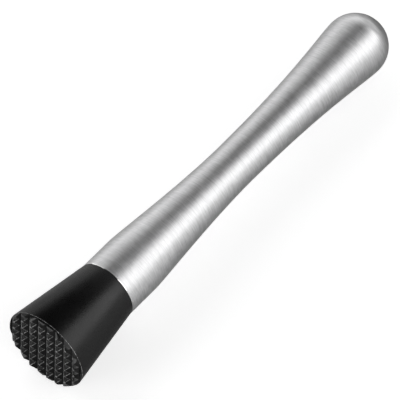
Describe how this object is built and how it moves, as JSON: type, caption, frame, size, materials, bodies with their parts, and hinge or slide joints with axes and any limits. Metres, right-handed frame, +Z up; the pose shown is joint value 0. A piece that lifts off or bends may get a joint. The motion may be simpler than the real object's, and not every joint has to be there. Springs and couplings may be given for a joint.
{
  "type": "cocktail muddler",
  "caption": "Bar muddler with a waisted brushed-steel handle, a round knob and a black conical head with a toothed face that screws off.",
  "frame": {"origin": "bottom centre of the bounding box, on the surface that the muddler lies on", "axes": "+Y along the muddler from its toothed face to its knob, +Z up, +X to the right seen from the face"},
  "size_m": [0.0356, 0.1988, 0.0356],
  "materials": {
    "brushed_steel": "fine brushing round the handle",
    "turned_steel": "turned, bright",
    "black_nylon": "satin moulded nylon",
    "brass": "machined",
    "black_rubber": "matt"
  },
  "bodies": {
    "handle": {"handle_shell": "brushed_steel", "end_plug": "turned_steel", "threaded_bolt": "turned_steel"},
    "seal": {"seal_ring": "black_rubber"},
    "head": {"muddling_head": "black_nylon", "threaded_insert": "brass"}
  },
  "joints": [
    {"name": "head_travel", "type": "slide", "parent": "handle", "child": "seal", "axis": [0, -0.9996, 0.0272], "range_m": [0, 0.009]},
    {"name": "head_turn", "type": "hinge", "parent": "seal", "child": "head", "pos_m": [0, -0.09901, 0.01785], "axis": [0, -0.9996, 0.0272], "range_deg": [0, 2160]}
  ],
  "couplings": [
    {"joint": "head_turn", "follows": "head_travel", "rad_per_m": 4188.8}
  ]
}
